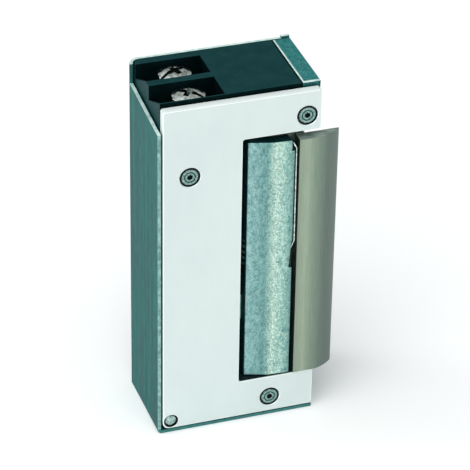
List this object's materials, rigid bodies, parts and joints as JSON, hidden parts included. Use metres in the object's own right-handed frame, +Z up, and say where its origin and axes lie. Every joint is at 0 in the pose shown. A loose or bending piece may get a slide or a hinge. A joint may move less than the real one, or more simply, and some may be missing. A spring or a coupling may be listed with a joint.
{
  "type": "electric door strike",
  "caption": "Compact electric door strike: sheet case, cast frame, swinging keeper with a stainless lip, coil with locking lever, and screw terminals on top.",
  "frame": {"origin": "centre of the body's bottom face, halfway across its width and depth", "axes": "+Z up along the body, -Y out of the cover plate, +X towards the door edge, where the lip stands out"},
  "size_m": [0.0326, 0.0189, 0.0663],
  "materials": {
    "zinc_plated_sheet": "zinc plated, bluish",
    "satin_plate": "fine satin",
    "cast_zinc": "zinc die cast, speckled",
    "stainless_steel": "brushed lengthways",
    "black_plastic": "fine grained",
    "nickel_steel": "bright nickel",
    "dark_steel": "dark zinc",
    "brass": "plain",
    "soft_iron": "plain",
    "enamelled_copper": "enamelled wire",
    "natural_nylon": "natural"
  },
  "bodies": {
    "housing": {"case_shell": "zinc_plated_sheet", "cover_plate": "satin_plate", "strike_frame": "cast_zinc", "terminal_block": "black_plastic", "contact_rear": "brass", "contact_front": "brass", "keeper_pin": "nickel_steel", "lever_pin": "nickel_steel", "lever_spring": "nickel_steel", "armature_pin": "nickel_steel", "armature_spring": "nickel_steel", "coil_bobbin": "natural_nylon", "coil_winding": "enamelled_copper", "coil_core": "soft_iron", "coil_yoke": "soft_iron", "coil_lead_front": "enamelled_copper", "coil_lead_rear": "enamelled_copper", "cover_screw_upper": "dark_steel", "cover_screw_left": "dark_steel", "cover_screw_lower": "dark_steel", "corner_rivet": "dark_steel"},
    "keeper": {"keeper_body": "cast_zinc", "keeper_lip": "stainless_steel", "lock_wire": "nickel_steel", "lip_screw_lower": "dark_steel", "lip_screw_upper": "dark_steel", "keeper_spring": "nickel_steel"},
    "lever": {"locking_lever": "dark_steel"},
    "armature_arm": {"armature": "soft_iron", "armature_catch": "dark_steel"},
    "clamp_rear": {"wire_clamp_rear": "nickel_steel"},
    "screw_rear": {"terminal_screw_rear": "nickel_steel"},
    "clamp_front": {"wire_clamp_front": "nickel_steel"},
    "screw_front": {"terminal_screw_front": "nickel_steel"}
  },
  "joints": [
    {"name": "keeper_swing", "type": "hinge", "parent": "housing", "child": "keeper", "pos_m": [0.00337, -0.00562, 0.0087], "axis": [0, 0, -1], "range_deg": [0, 50], "stiffness_Nm_per_rad": 0.01, "springref_deg": -28.65},
    {"name": "lever_swing", "type": "hinge", "parent": "housing", "child": "lever", "pos_m": [-0.01128, -0.00402, 0.0065], "axis": [-1, 0, 0], "range_deg": [0, 17.26], "deforming": ["lever_spring"]},
    {"name": "armature_swing", "type": "hinge", "parent": "housing", "child": "armature_arm", "pos_m": [-0.01238, 0.00045, 0.036], "axis": [0, -1, 0], "range_deg": [0, 6], "stiffness_Nm_per_rad": 0.002, "springref_deg": -11.46, "deforming": ["armature_spring"]},
    {"name": "clamp_rear_lift", "type": "slide", "parent": "housing", "child": "clamp_rear", "axis": [0, 0, 1], "range_m": [0, 0.001]},
    {"name": "screw_rear_turn", "type": "hinge", "parent": "clamp_rear", "child": "screw_rear", "pos_m": [-0.00747, 0.00373, 0.0632], "axis": [0, 0, 1], "range_deg": [0, 722]},
    {"name": "clamp_front_lift", "type": "slide", "parent": "housing", "child": "clamp_front", "axis": [0, 0, 1], "range_m": [0, 0.001]},
    {"name": "screw_front_turn", "type": "hinge", "parent": "clamp_front", "child": "screw_front", "pos_m": [-0.00747, -0.00407, 0.0632], "axis": [0, 0, 1], "range_deg": [0, 722]}
  ],
  "couplings": [
    {"joint": "lever_swing", "follows": "keeper_swing", "ratio": 0.345},
    {"joint": "screw_rear_turn", "follows": "clamp_rear_lift", "rad_per_m": 12566},
    {"joint": "screw_front_turn", "follows": "clamp_front_lift", "rad_per_m": 12566}
  ]
}
